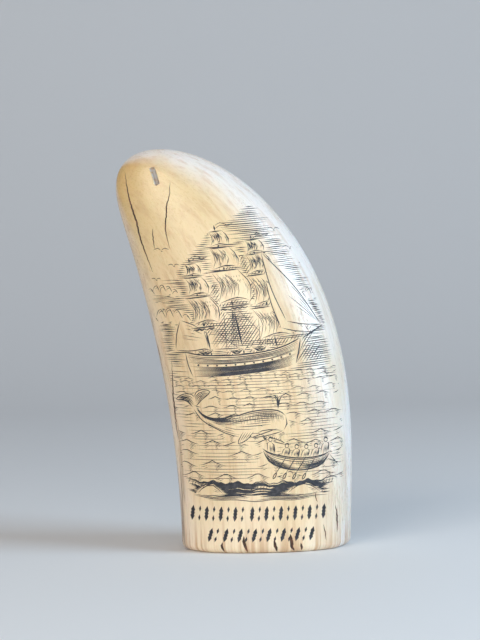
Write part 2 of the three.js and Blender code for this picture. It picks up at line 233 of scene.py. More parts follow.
@dataclass
class Engraver:
    """Cuts strokes in the face. What is drawn first stands in front and hides what comes later."""

    form: ToothForm
    seed: int = 7
    reach: float = 0.93  # how far across the face a stroke may run
    strokes: list[Stroke] = field(default_factory=list)
    screens: list[Path] = field(default_factory=list)

    def __post_init__(self) -> None:
        self.chance = random.Random(self.seed)
        self.keep_to(self.reach)

    def keep_to(self, reach: float) -> None:
        """Sets how far across the face strokes may run, as a share of its half-width."""
        form, count = self.form, 90
        side = math.acos(reach ** (form.squareness / 2))
        rise = np.linspace(-0.8 * form.edge_length, 0.985 * form.length, count)
        turns = [(math.pi / 2 + angle) / (2 * math.pi) for angle in (side, math.pi - side)]
        near, far = (form.points(np.full(count, turn), rise) for turn in turns)
        self.field_outline = np.vstack([near, far[::-1]])[:, [0, 2]]

    def hide(self, outline: list | Path) -> None:
        """Hides all later strokes inside an outline."""
        self.screens.append(np.asarray(outline, float))

    def cut(
        self,
        path: list | Path,
        width: float,
        inside: Path | None = None,
        ragged: float = 0.0,
        taper: float = 0.3,
        tool: Tool = Tool.GRAVER,
    ) -> None:
        """Cuts along a path wherever the face is free.

        Args:
            path: The middle line.
            width: The full width of the cut.
            inside: An outline that the cut keeps to, if any.
            ragged: The largest share that an end may fall short by.
            taper: The share of each end that narrows to a point.
            tool: What makes the mark.
        """
        path = np.asarray(path, float)
        if len(path) == 2:
            path = spaced(path, max(int(np.linalg.norm(path[1] - path[0]) / 0.4), 2))
        free = within(self.field_outline, path)
        if inside is not None:
            free &= within(inside, path)
        for screen in self.screens:
            free &= ~within(screen, path)
        edges = np.flatnonzero(np.diff(np.concatenate([[False], free, [False]]).astype(int)))
        for start, end in zip(edges[::2], edges[1::2]):
            run = path[start:end]
            size = len(run)
            first = int(size * ragged * self.chance.random())
            last = size - int(size * ragged * self.chance.random())
            run = run[first:last]
            if len(run) < 2:
                continue
            steps = np.diff(run, axis=0)
            length = float(np.linalg.norm(steps, axis=1).sum())
            if length > 0.45:
                turning = np.abs(np.diff(np.unwrap(np.arctan2(steps[:, 1], steps[:, 0])))).sum()
                run = spaced(run, max(int(length / 2), int(turning / 0.3), 2))
                self.strokes.append(Stroke(run, width, taper, tool))

    def flow(
        self,
        edge_a: Path,
        edge_b: Path,
        shares: list[float] | np.ndarray,
        width: float,
        span: tuple[float, float] = (0.0, 1.0),
        ragged: float = 0.12,
        broken: float = 0.0,
    ) -> None:
        """Fills the space between two edges with strokes that run along them.

        Args:
            edge_a: The first edge.
            edge_b: The second edge, which runs the same way.
            shares: Where each stroke lies between the edges, 0 to 1.
            width: The full width of each cut.
            span: The part of the edges' length that the strokes cover.
            ragged: How unevenly the strokes start and stop, as a share of the length.
            broken: The chance that a stroke has a gap in it.
        """
        count = max(len(edge_a), len(edge_b), 8)
        a, b = spaced(edge_a, count), spaced(edge_b, count)
        for share in shares:
            path = a + (b - a) * share
            start = span[0] + ragged * self.chance.random()
            end = span[1] - ragged * self.chance.random()
            pieces = [(start, end)]
            if self.chance.random() < broken:
                gap = start + (end - start) * self.chance.uniform(0.3, 0.7)
                pieces = [(start, gap - 0.04), (gap + 0.04, end)]
            for low, high in pieces:
                part = path[int(low * count) : int(high * count) + 1]
                if len(part) > 2:
                    self.cut(part, width * self.chance.uniform(0.8, 1.15))

    def hatch(
        self, outline: Path, angle: float, pitch: float, width: float, bend: float, ragged: float
    ) -> None:
        """Fills an outline with parallel strokes.

        Args:
            outline: The area.
            angle: The strokes' direction in degrees, from +X towards +Z.
            pitch: The spacing of the strokes.
            width: The full width of each cut.
            bend: How far the strokes bow, in millimetres.
            ragged: How unevenly they end, as a share of their length.
        """
        low, high = outline.min(axis=0), outline.max(axis=0)
        middle, radius = (low + high) / 2, float(np.linalg.norm(high - low)) / 2
        along = np.array([math.cos(math.radians(angle)), math.sin(math.radians(angle))])
        aside = np.array([-along[1], along[0]])
        u = np.linspace(-radius, radius, max(int(2 * radius / 0.35), 4))[:, None]
        offset = -radius
        while offset < radius:
            path = middle + along * u + aside * (offset + bend * (u / radius) ** 2)
            self.cut(path, width * self.chance.uniform(0.75, 1.15), outline, ragged)
            offset += pitch * self.chance.uniform(0.85, 1.15)


@dataclass(frozen=True)
class Placing:
    """Sets a figure on the face: turned, sized and moved from its own axes."""

    x: float
    z: float
    size: float = 1.0
    turn_deg: float = 0.0

    def __call__(self, points: list | Path) -> Path:
        """Gives the points on the face."""
        p = np.asarray(points, float) * self.size
        c, s = math.cos(math.radians(self.turn_deg)), math.sin(math.radians(self.turn_deg))
        return np.stack([self.x + c * p[:, 0] - s * p[:, 1], self.z + s * p[:, 0] + c * p[:, 1]], axis=1)

    def bow(self, *points: tuple[float, float] | Path) -> Path:
        """Gives a smooth curve through some points, on the face."""
        return self(smooth(points))


# ---------------------------------------------------------------- the picture

HAIR = 0.17
FINE = 0.22
LINE = 0.3
BOLD = 0.42
HORIZON = 58.6


@dataclass(frozen=True)
class Mast:
    """A mast with its square sails, each as foot, head, half-width of foot and head."""

    foot: float
    height: float
    sails: tuple[tuple[float, float, float, float], ...]


@dataclass(frozen=True)
class Ship:
    """A full-rigged ship under sail, her bow to the right."""

    placing: Placing = Placing(-4.5, 60.6, 0.95, 6.0)
    rake: float = 0.1
    masts: tuple[Mast, ...] = (
        Mast(
            10.5,
            43,
            ((8.2, 18.6, 5.5, 5.0), (19.6, 29.6, 4.9, 4.0), (30.4, 36.6, 3.9, 3.0), (37.3, 41.4, 2.8, 2.1)),
        ),
        Mast(-0.8, 48, ((21.6, 32.4, 5.3, 4.4), (33.2, 40.2, 4.2, 3.2), (41.0, 45.8, 3.0, 2.2))),
        Mast(-11.6, 38, ((15.6, 24.6, 4.3, 3.6), (25.4, 31.4, 3.4, 2.6), (32.2, 36.0, 2.4, 1.8))),
    )

    def on_mast(self, mast: Mast, height: float) -> float:
        """Gives the mast's place along the ship at a height."""
        return mast.foot - self.rake * height

    def square_sail(self, hand: Engraver, mast: Mast, sail: tuple[float, ...]) -> None:
        """Cuts one square sail and its yard."""
        foot, head, wide_foot, wide_head = sail
        low, high = self.on_mast(mast, foot), self.on_mast(mast, head)
        belly = 0.26 * (head - foot)
        middle = (foot + head) / 2
        wide = (wide_foot + wide_head) / 2
        left, right = (
            smooth([
                (high + side * wide_head, head),
                ((low + high) / 2 + side * wide + belly, middle),
                (low + side * wide_foot + 0.4 * belly, foot),
            ])
            for side in (-1, 1)
        )
        bottom = smooth([left[-1], (low + 0.7 * belly, foot + 0.13 * (head - foot)), right[-1]])
        left, right, bottom = self.placing(left), self.placing(right), self.placing(bottom)
        top = np.array([left[0], right[0]])
        outline = np.vstack([top, right, bottom[::-1], left[::-1]])
        reach = (top[1] - top[0]) * 0.12
        hand.cut(np.array([top[0] - reach, top[1] + reach]), BOLD, taper=0.12)
        hand.cut(right, LINE)
        hand.cut(left, FINE)
        hand.cut(bottom, LINE)
        hand.flow(left, right, np.arange(0.05, 0.6, 0.045), 0.24, (0.04, 0.97), 0.35, 0.2)
        hand.flow(left, right, np.arange(0.84, 0.99, 0.05), HAIR, (0.3, 1.0), 0.3)
        hand.flow(left, right, [0.5, 0.6, 0.7], HAIR, (0.0, 0.5), 0.4)
        if head - foot > 8.5:
            for drop in (0.2, 0.36):
                for share in np.arange(0.08, 0.97, 0.1):
                    a, b = spaced(left, 20)[int(20 * drop)], spaced(right, 20)[int(20 * drop)]
                    tie = a + (b - a) * share
                    hand.cut([tie, tie + np.array([0.1, -0.75])], HAIR)
        hand.hide(outline)

    def fore_and_aft_sail(self, hand: Engraver, corners: list, bow: float) -> None:
        """Cuts a jib or the spanker from its corners, the last edge and the foot bowed by a share."""
        c = np.asarray(corners, float)
        edges = []
        for a, b in zip(c, np.roll(c, -1, axis=0)):
            aside = np.array([b[1] - a[1], a[0] - b[0]]) * bow
            edges.append(self.placing.bow(a, (a + b) / 2 + aside, b))
        for edge in edges:
            hand.cut(edge, LINE, taper=0.15)
        outline = np.vstack(edges)
        hand.flow(edges[0], edges[2][::-1], np.arange(0.1, 0.6, 0.12), HAIR, (0.05, 0.9), 0.4)
        hand.hide(outline)

    def furled_sail(self, hand: Engraver, mast: Mast, height: float, wide: float) -> None:
        """Cuts a yard with its sail tied up along it."""
        at = self.on_mast(mast, height)
        hand.cut(self.placing([(at - wide - 0.8, height), (at + wide + 0.8, height)]), BOLD, taper=0.1)
        u = np.linspace(at - wide, at + wide, 29)
        sag = 0.55 + 0.45 * np.abs(np.sin((u - at) * 1.9))
        lower = self.placing(np.stack([u, height - sag], axis=1))
        upper = self.placing(np.stack([u, np.full_like(u, height - 0.1)], axis=1))
        hand.cut(lower, LINE, taper=0.1)
        hand.flow(upper, lower, [0.45, 0.75], FINE, (0, 1), 0.1, 1.0)
        hand.hide(np.vstack([upper, lower[::-1]]))

    def hull(self, hand: Engraver) -> None:
        """Cuts the hull, dark above and below a pale band of painted ports."""
        place = self.placing
        rail = place.bow((-20.4, 6.6), (-14, 5.0), (-4, 3.9), (6, 3.9), (13, 4.9), (18.6, 6.8))
        keel = place.bow((-18.8, -1.9), (-8, -2.7), (4, -2.8), (12, -2.4), (16.0, -1.5))
        stem = place.bow((18.6, 6.8), (17.5, 2.6), (16.0, -1.5))
        stern = place.bow((-20.4, 6.6), (-20.0, 2.2), (-18.8, -1.9))
        outline = np.vstack([rail, stem, keel[::-1], stern[::-1]])
        hand.cut(rail, BOLD, taper=0.06)
        hand.cut(stem, BOLD, taper=0.1)
        hand.cut(stern, LINE, taper=0.1)
        hand.flow(rail, keel, [0.1], LINE, (0, 1), 0.02)
        hand.flow(rail, keel, [0.17, 0.23, 0.29, 0.35], 0.3, (0, 1), 0.03, 0.2)
        hand.flow(rail, keel, [0.4, 0.56], LINE, (0, 1), 0.01)
        hand.flow(rail, keel, np.arange(0.61, 1.0, 0.052), 0.34, (0, 1), 0.05, 0.3)
        count = 12
        top, low = spaced(rail, 3 * count), spaced(keel, 3 * count)
        for i in range(3, 3 * count - 1, 3):
            a, b = top[i] + (low[i] - top[i]) * 0.43, top[i] + (low[i] - top[i]) * 0.53
            hand.cut([a, b], 0.85, taper=0.12)
        hand.hide(outline)
        for u in (-13.5, -3.2, 4.6):
            side = 0.3 if u > -10 else 1.0
            boat_rail = place.bow((u - 2.9, 5.9 + side), (u, 5.0 + side), (u + 2.9, 5.9 + side))
            boat_keel = place.bow((u - 2.7, 5.7 + side), (u, 3.9 + side), (u + 2.7, 5.7 + side))
            hand.cut(boat_rail, LINE)
            hand.cut(boat_keel, LINE)
            hand.flow(boat_rail, boat_keel, [0.35, 0.6, 0.85], FINE, (0.1, 0.9), 0.1)
            hand.hide(np.vstack([boat_rail, boat_keel[::-1]]))

    def rigging(self, hand: Engraver) -> None:
        """Cuts the masts, the bowsprit, the shrouds with their ratlines and the stays."""
        place = self.placing
        for mast in self.masts:
            top = (self.on_mast(mast, mast.height), mast.height)
            hand.cut(place([(mast.foot, 4), top]), 0.62, taper=0.4)
            crown = 0.42 * mast.height
            head = self.on_mast(mast, crown)
            for i in range(4):
                hand.cut(place([(head, crown), (mast.foot - 4.2 + 0.95 * i, 4.6)]), HAIR, taper=0.1)
            for height in np.arange(6.2, crown - 2.2, 1.25):
                share = (crown - height) / (crown - 4.6)
                left = head + (mast.foot - 4.2 - head) * share
                right = head + (mast.foot - 1.35 - head) * share
                hand.cut(place([(left, height), (right, height)]), HAIR)
            upper = self.on_mast(mast, 0.9 * mast.height)
            hand.cut(place([(upper, 0.9 * mast.height), (mast.foot - 5.6, 5.2)]), HAIR, taper=0.1)
            flag = [(top[0] + u, top[1] + v) for u, v in ((0, -0.4), (2.2, 0.5), (4.6, -0.5), (6.6, 0))]
            lower = [(u, v - 1.15 + 0.16 * (u - top[0])) for u, v in flag]
            hand.cut(place(smooth(flag)), FINE)
            hand.cut(place(smooth(lower)), FINE)
        fore, main, mizzen = self.masts
        hand.cut(place([(17.2, 5.6), (27.2, 10.2)]), 0.6, taper=0.5)
        hand.cut(place([(26.6, 9.9), (self.on_mast(fore, 42), 42)]), HAIR, taper=0.1)
        hand.cut(place([(20.4, 6.9), (16.2, -0.6)]), HAIR)
        for low, high in ((fore, main), (main, mizzen)):
            for share in (0.44, 0.8):
                top = share * high.height
                end = 0.32 * low.height if share > 0.6 else 5
                stay = [(self.on_mast(high, top), top), (self.on_mast(low, end), end)]
                hand.cut(place(stay), HAIR, taper=0.1)

    def engrave(self, hand: Engraver) -> None:
        """Cuts the whole ship, the nearest parts first."""
        _, main, mizzen = self.masts
        self.fore_and_aft_sail(hand, [(26.0, 10.2), (9.0, 37.0), (14.6, 13.0)], 0.04)
        self.fore_and_aft_sail(hand, [(21.8, 8.4), (9.4, 27.5), (12.6, 11.0)], 0.04)
        for mast in self.masts:
            for sail in mast.sails:
                self.square_sail(hand, mast, sail)
        self.furled_sail(hand, main, 20.2, 5.4)
        self.furled_sail(hand, mizzen, 14.4, 3.9)
        gaff = self.on_mast(mizzen, 14) - 0.4
        spanker = [(gaff, 13.2), (gaff - 7.4, 17.6), (gaff - 10.2, 7.6), (gaff + 0.8, 7.4)]
        self.fore_and_aft_sail(hand, spanker, 0.05)
        self.hull(hand)
        self.rigging(hand)


@dataclass(frozen=True)
class Whale:
    """A whale that rolls at the surface, her flukes raised and her jaw open."""

    placing: Placing = Placing(-6.2, 40.6, 0.84, -3.0)

    def engrave(self, hand: Engraver) -> None:
        """Cuts the whale, the nearest parts first."""
        place = self.placing
        fin = place.bow((3.6, -1.2), (1.0, -4.6), (-2.2, -6.0), (-1.2, -3.2), (-0.2, -1.4))
        hand.cut(fin, LINE)
        hand.flow(fin[:12], fin[::-1][:12], [0.25, 0.5, 0.75], FINE)
        hand.hide(fin)
        back = place.bow(
            (-18.6, 7.2), (-15.8, 4.2), (-11, 3.0), (-6, 3.9), (-4.4, 4.9),
            (-3.4, 4.3), (2, 6.2), (8, 7.2), (13, 6.9), (15.6, 5.0),
        )
        belly = place.bow(
            (-19.6, 6.4), (-16.2, 2.2), (-11, -0.6), (-5, -2.9),
            (2, -3.6), (8, -2.8), (12.4, -1.5), (15.0, -0.6),
        )
        brow = place.bow((15.6, 5.0), (16.2, 2.4), (15.0, -0.6))
        hand.cut(back, BOLD, taper=0.08)
        hand.cut(brow, BOLD, taper=0.2)
        hand.cut(belly, LINE, taper=0.1)
        hand.cut(place.bow((5.4, 0.9), (6.2, 1.3), (7.0, 0.8)), LINE)
        hand.cut(place([(6.0, 0.5), (6.5, 0.5)]), 0.6, taper=0.2)
        hand.cut(place.bow((14.8, -0.5), (10, -0.3), (6.6, -0.9), (4.6, -2.2)), LINE)
        hand.flow(back, belly, [0.07, 0.13, 0.19, 0.25, 0.32], 0.3, (0.02, 0.97), 0.06, 0.6)
        hand.flow(back, belly, [0.4, 0.48, 0.57], FINE, (0.05, 0.9), 0.2, 0.8)
        hand.flow(back, belly, [0.68, 0.8, 0.91], HAIR, (0.12, 0.75), 0.25, 0.8)
        top, low = spaced(back, 60), spaced(belly, 60)
        for i in range(6, 58):
            reach = 0.34 + 0.22 * hand.chance.random()
            lean = min(i + 2, 60)
            hand.cut([top[i] + (low[i] - top[i]) * 0.03, top[lean] + (low[lean] - top[lean]) * reach], HAIR)
        hand.hide(np.vstack([back, brow, belly[::-1]]))
        jaw = place.bow(
            (4.8, -2.6), (9, -4.2), (14.8, -5.6), (15.4, -5.2), (14.6, -4.7), (9.4, -3.0), (6.4, -1.9)
        )
        hand.cut(jaw, LINE, taper=0.1)
        hand.flow(jaw[:18], jaw[::-1][:18], [0.3, 0.55], HAIR)
        for share in np.arange(0, 1, 0.13):
            tooth = np.array([8.6 + 5.6 * share, -2.9 - 1.7 * share])
            hand.cut(place([tooth, tooth + np.array([0.1, 0.75])]), FINE)
        hand.hide(jaw)
        for side in (
            ((-19.4, 6.4), (-22.4, 9.0), (-26.4, 9.2), (-24.0, 11.4), (-20.6, 11.8), (-19.2, 10.6)),
            ((-18.6, 7.2), (-16.8, 9.6), (-13.4, 13.2), (-16.6, 13.8), (-18.8, 12.6), (-19.2, 10.6)),
        ):
            lobe = place.bow(*side)
            hand.cut(lobe, LINE, taper=0.08)
            half = len(lobe) // 2
            hand.flow(lobe[:half], lobe[::-1][:half], [0.15, 0.3, 0.45, 0.6, 0.75], 0.28, (0, 1), 0.15)
            hand.hide(lobe)
        for i in range(11):
            side = (i - 5) / 5
            middle = (12.4 + 1.2 * side, 11.4 + 1.2 * hand.chance.random())
            spray = place.bow((12.6, 7.6), middle, (11.2 + 4.4 * side, 13.6 - 2.4 * side**2))
            hand.cut(spray, HAIR, ragged=0.12)
        for i in range(9):
            at = np.array([9.2 + 0.85 * i, 12.8 + 1.4 * math.sin(i * 1.7)])
            hand.cut(place.bow(at, at + (0.4, 0.45), at + (0.9, 0.1)), HAIR)


@dataclass(frozen=True)
class Whaleboat:
    """A double-ended boat with her crew, her bow to the left."""

    placing: Placing = Placing(10.6, 29.4, 0.92, -3.0)

    def rower(self, hand: Engraver, at: float, foot: float, tall: float, lean: float) -> None:
        """Cuts one small figure: a round head, and a coat shaded on one side."""
        place = self.placing
        neck_x, neck_z = at + lean, foot + tall * 0.68
        angles = np.linspace(0, 2 * math.pi, 11)
        head = np.stack([neck_x + 0.62 * np.cos(angles), neck_z + 0.95 + 0.72 * np.sin(angles)], axis=1)
        hand.cut(place(head), FINE, taper=0.02)
        cap = ((-0.75, 1.2), (0, 1.75), (0.8, 1.15))
        hand.cut(place.bow(*((neck_x + u, neck_z + v) for u, v in cap)), 0.45)
        hand.hide(place(head))
        left, right = (
            place.bow(
                (at + hip, foot),
                (at + waist + lean * 0.5, foot + tall * 0.36),
                (neck_x + shoulder, neck_z - 0.1),
                (neck_x + collar, neck_z + 0.2),
            )
            for hip, waist, shoulder, collar in ((-1.15, -1.2, -0.95, -0.2), (1.25, 1.3, 1.0, 0.2))
        )
        hand.cut(left, FINE, taper=0.1)
        hand.cut(right, LINE, taper=0.1)
        hand.flow(left, right, [0.4, 0.58, 0.76, 0.9], 0.3, (0, 0.8), 0.1)
        hand.hide(np.vstack([left, right[::-1]]))

    def engrave(self, hand: Engraver) -> None:
        """Cuts the boat and crew, the nearest parts first."""
        place = self.placing
        for at in (-5.2, -1.8, 1.6, 5.0):
            hand.cut(place([(at + 1.6, 2.2), (at - 2.4, -4.6)]), LINE, taper=0.06)
            tips = ((-1.9, -3.8), (-2.9, -4.9), (-3.2, -6.2), (-2.4, -5.6), (-1.9, -3.8))
            blade = place.bow(*((at + u, v) for u, v in tips))
            hand.cut(blade, LINE, taper=0.05)
            hand.hide(blade)
        rail = place.bow((-12.6, 4.4), (-9, 2.5), (0, 1.2), (8, 2.0), (11.6, 3.8))
        keel = place.bow((-12.2, 3.8), (-9.6, -0.4), (-4, -2.6), (3, -2.8), (8.6, -0.9), (11.2, 3.3))
        hull = np.vstack([rail, keel[::-1]])
        hand.cut(rail, BOLD, taper=0.06)
        hand.cut(keel, BOLD, taper=0.1)
        hand.flow(rail, keel, [0.13], LINE, (0.0, 1.0), 0.02)
        hand.flow(rail, keel, [0.3, 0.48], FINE, (0.02, 0.98), 0.08, 0.5)
        hand.flow(rail, keel, np.arange(0.6, 0.98, 0.085), 0.3, (0.04, 0.97), 0.1, 0.5)
        top, low = spaced(rail, 46), spaced(keel, 46)
        for i in range(24, 45):
            end = top[i - 1] + (low[i - 1] - top[i - 1]) * 0.62
            hand.cut([top[i] + (low[i] - top[i]) * 0.2, end], HAIR, ragged=0.2)
        hand.hide(hull)
        self.rower(hand, -9.2, 2.0, 6.6, -0.5)
        for high in (0.0, 0.55):
            hand.cut(place.bow((-10.2, 6.4 + high), (-11.6, 7.4 + high), (-12.6, 8.8 + high)), LINE)
        hand.cut(place([(-7.4, 11.4), (-17.2, 7.6)]), LINE, taper=0.05)
        hand.cut(place.bow((-17.2, 7.6), (-16.6, 8.5), (-16.2, 8.0)), LINE)
        for at in (-4.6, -1.2, 2.2, 5.6):
            self.rower(hand, at, 1.2 + 0.012 * at * at, 4.4, 0.7)
            hand.cut(place.bow((at + 0.4, 3.4), (at - 0.4, 2.7), (at - 1.3, 2.5)), LINE)
        self.rower(hand, 9.2, 2.4, 6.2, 0.4)
        hand.cut(place([(7.2, 7.2), (14.6, -1.8)]), LINE, taper=0.05)
        hand.cut(place.bow((-9.6, 7.6), (-13, 9.2), (-15.4, 9.6), (-17.4, 8.2)), HAIR, taper=0.05)


@dataclass(frozen=True)
class Sea:
    """Rows of waves that grow towards the front, and the dark trough along the picture's foot."""

    top: float = 57.4
    foot: float = 24.6
    rows: int = 13
    band_foot: float = 17.4
    band_head: float = 22.4

    def wave(self, hand: Engraver, x: float, z: float, long: float, tall: float) -> None:
        """Cuts one wave: two hollow flanks that meet in a crest, shaded on the right."""
        dx = np.linspace(-0.5, 0.5, max(int(long / 0.4), 6))
        rise = tall * (1 - 2 * np.abs(dx)) ** 1.7
        crest = np.stack([x + dx * long, z + rise], axis=1)
        hand.cut(crest, LINE if tall > 0.8 else FINE, taper=0.35)
        lines = 2 + int(tall * 2.4)
        for j in range(1, lines + 1):
            share = j / (lines + 1)
            half = dx > 0
            keep = crest[half][: max(int(len(crest[half]) * (1.0 - 0.75 * share)), 3)]
            drop = np.array([0.12 * j, -0.52 * j])
            hand.cut(keep + drop, FINE if j < 3 else HAIR, ragged=0.25)
        if tall > 1.1:
            for j in range(1, 3):
                keep = crest[dx < -0.12] + np.array([0.3 * j, -0.55 * j])
                hand.cut(keep, HAIR, ragged=0.4)

    def band(self, hand: Engraver) -> None:
        """Cuts the dark trough, with its ragged crests and two patches of pale foam."""
        x = np.linspace(-25.5, 23.5, 99)
        jag = 0.9 * np.abs(np.sin(x * 0.42 + 0.6)) + 0.45 * np.abs(np.sin(x * 1.13))
        fall = 0.0022 * (x + 1) ** 2
        head = np.stack([x, self.band_head + 1.3 - jag + 0.6 * fall], axis=1)
        foot = np.stack([x, self.band_foot + 0.75 * fall + 0.25 * np.sin(x * 0.5)], axis=1)
        for at, wide in ((-17.5, 4.2), (12.5, 5.4)):
            heap = ((-1, 19.2), (-0.5, 21.4), (0.1, 22.2), (0.5, 21.2), (1, 19.3))
            foam = smooth([(at + u * wide, v) for u, v in heap])
            under = smooth([(at - wide, 19.2), (at, 18.7), (at + wide, 19.3)])
            hand.cut(foam, LINE)
            hand.cut(under, FINE, ragged=0.2)
            hand.flow(foam, under, [0.3, 0.5], HAIR, (0.55, 1.0), 0.2)
            hand.hide(np.vstack([foam, under[::-1]]))
        hand.cut(head, LINE, taper=0.03)
        hand.flow(head, foot, np.arange(0.06, 0.8, 0.082), 0.44, (0.0, 1.0), 0.1, 0.6)
        hand.flow(head, foot, np.arange(0.1, 0.72, 0.082), 0.4, (0.1, 0.9), 0.16, 0.6)
        hand.flow(head, foot, np.arange(0.82, 1.05, 0.075), 0.3, (0.05, 0.95), 0.22, 0.9)
        for i in range(3, 96, 2):
            end = head[i] + (foot[i] - head[i]) * hand.chance.uniform(0.25, 0.6) + np.array([-0.7, 0])
            hand.cut([head[i] + np.array([0.0, -0.1]), end], FINE)
        hand.hide(np.vstack([head, foot[::-1]]))

    def engrave(self, hand: Engraver) -> None:
        """Cuts the waves, the nearest rows first."""
        for row in range(self.rows):
            share = row / (self.rows - 1)
            z = self.foot + (self.top - self.foot) * (1 - (1 - share) ** 1.35)
            long = 9.5 - 5.7 * share
            tall = 1.75 - 1.3 * share
            x = -31 + long * hand.chance.random()
            while x < 30:
                slope = 0.085 * max(share - 0.35, 0) * (x + 4)
                if hand.chance.random() < 0.86:
                    rise = z + slope + 0.3 * hand.chance.uniform(-1, 1)
                    self.wave(hand, x, rise, long * hand.chance.uniform(0.8, 1.1), tall)
                x += long * hand.chance.uniform(0.85, 1.15)
        water = np.array([(-34, 57.6), (28, 57.6), (28, 24), (-28, 24)])
        hand.hatch(water, 1, 1.05, HAIR, 0.4, 0.3)
        hand.cut([(-34, HORIZON), (28, HORIZON)], HAIR, taper=0.02)
        for drop in (0.7, 1.5, 2.4):
            level = HORIZON - drop
            hand.cut([(-33, level), (-25 - 3 * drop / 2, level)], HAIR, ragged=0.3)
            hand.cut([(15 + drop, level), (27, level)], HAIR, ragged=0.3)


@dataclass(frozen=True)
class Sky:
    """Gulls, and banks of cloud with streaks of wind between them."""

    gulls: tuple[tuple[float, float, float], ...] = (
        (-31.5, 97.5, 2.6), (-27.6, 92.6, 1.9), (4.6, 103.5, 2.2),
        (9.8, 97.4, 2.8), (-33.4, 88.2, 1.7), (14.4, 92.4, 1.8),
    )

    def cloud(self, hand: Engraver, x: float, z: float, wide: float, tall: float) -> None:
        """Cuts one bank of cloud: round heads above, level streaks below."""
        count = 5
        heads = []
        for i in range(count):
            share = i / (count - 1)
            high = tall * (0.45 + 0.55 * math.sin(math.pi * (0.15 + 0.7 * share)))
            at = x + wide * (share - 0.5)
            size = wide / count * 0.72
            curl = ((-1, 0.5), (-0.6, 0.92), (0.1, 1.0), (1, 0.55))
            heads.append(np.array([(at + u * size, z + v * high) for u, v in curl]))
        for head in heads:
            hand.cut(smooth(head), FINE)
            hand.cut(smooth(head) + np.array([0.35, -0.6]), HAIR, ragged=0.5)
            hand.hide(smooth(np.vstack([head, head[:1] + (0, -tall * 0.3)])))
        top = np.array([[x - wide * 0.55, z + tall * 0.42], [x + wide * 0.6, z + tall * 0.42]])
        base = np.array([[x - wide * 0.7, z - tall * 0.3], [x + wide * 0.75, z - tall * 0.3]])
        hand.flow(top, base, np.arange(0.02, 1.0, 0.62 / tall), HAIR, (0, 1), 0.3, 0.7)

    def engrave(self, hand: Engraver) -> None:
        """Cuts the sky behind everything else."""
        for x, z, size in self.gulls:
            for side in (-1, 1):
                bend, end = (x + side * size * 0.4, z + size * 0.32), (x + side * size, z + size * 0.1)
                wing = smooth([(x, z), bend, end])
                hand.cut(wing, FINE)
            hand.cut([(x - 0.2, z - 0.05), (x + 0.5, z - 0.3)], LINE)
        self.cloud(hand, -29.5, 72.5, 11.0, 6.5)
        self.cloud(hand, -31.5, 82.0, 8.0, 4.6)
        self.cloud(hand, 17.5, 79.5, 9.0, 5.6)
        for i in range(26):
            z = 61.5 + 1.05 * i + 0.4 * hand.chance.random()
            left = -34.5 + 0.06 * (z - 60) + 2 * hand.chance.random()
            hand.cut([(left, z), (left + hand.chance.uniform(4, 12), z + 0.25)], HAIR, ragged=0.3)
            right = 25.5 - 0.22 * (z - 60) - 2 * hand.chance.random()
            hand.cut([(right - hand.chance.uniform(4, 11), z - 0.2), (right, z)], HAIR, ragged=0.3)
        halo = smooth([
            (-31, 60), (-33, 68), (-32, 80), (-27, 91), (-20, 100), (-10, 108), (-2, 111.5),
            (5, 106), (11, 96), (16.5, 86), (21, 75), (24.5, 64), (22, 59.5), (0, 59),
        ])
        hand.hatch(halo, 3, 0.64, 0.3, 0.9, 0.22)
        shade = smooth([(-20, 61), (-21, 74), (-14, 89), (-3, 97), (6, 91), (14, 77), (19, 62), (0, 60)])
        hand.hatch(shade, 56, 0.8, 0.26, 1.0, 0.25)


@dataclass(frozen=True)
class StrokeRows:
    """Two rows of upright strokes, wide ones between fine broken ones, in groups as long as words."""

    rows: tuple = (
        (10.4, 5.0, 0.12, ((-23.8, 8, 2.3), (-4.6, 11, 2.3))),
        (3.7, 4.6, 0.3, ((-18.5, 2, 2.0), (-13.6, 13, 2.3))),
    )

    def engrave(self, hand: Engraver) -> None:
        """Cuts both rows."""
        for foot, height, lean, groups in self.rows:
            for start, count, pitch in groups:
                for i in range(count):
                    x = start + i * pitch
                    parts = ((0, 0.6), (0.2, 0.8), (0.4, 1)) if i % 2 == 0 else ((0, 0.42), (0.58, 1))
                    for low, high in parts:
                        a = (x + lean * low * height, foot + low * height)
                        b = (x + lean * high * height, foot + high * height)
                        hand.cut([a, b], 1.35 if i % 2 == 0 else 0.8, taper=0.05)


